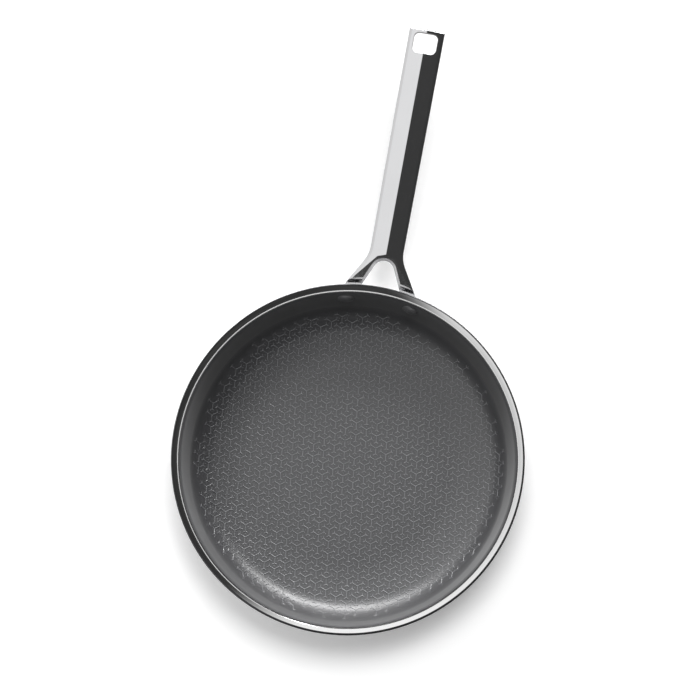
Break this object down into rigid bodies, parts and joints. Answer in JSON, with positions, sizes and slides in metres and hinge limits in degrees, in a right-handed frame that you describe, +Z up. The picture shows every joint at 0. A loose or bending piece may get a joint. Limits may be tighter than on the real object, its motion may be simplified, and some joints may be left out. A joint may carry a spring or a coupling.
{
  "type": "omelette pan",
  "caption": "Round clad frying pan with a coated, embossed inside, a flared polished rim and a forked, faceted steel handle with a hanging hole, held by rivets.",
  "frame": {"origin": "Centre of the base's underside, where the pan rests.", "axes": "+Z up along the pan's axis, +Y along the handle from the pan to its tip, +X to the right seen from above with the handle pointing away."},
  "size_m": [0.26, 0.448, 0.0899],
  "materials": {
    "polished_steel": "mirror-polished magnetic stainless steel, spun",
    "aluminium": "bare, seen only at the rim's cut edge",
    "rim_steel": "mirror-polished stainless steel",
    "coating": "satin dark grey ceramic nonstick film",
    "handle_steel": "mirror-polished cast stainless steel",
    "rivet_steel": "polished stainless steel"
  },
  "bodies": {
    "root": {"outer_shell": "polished_steel", "aluminium_core": "aluminium", "inner_lining": "rim_steel", "nonstick_coating": "coating", "handle": "handle_steel", "left_rivet": "rivet_steel", "right_rivet": "rivet_steel", "left_rivet_coating": "coating", "right_rivet_coating": "coating"}
  },
  "joints": []
}
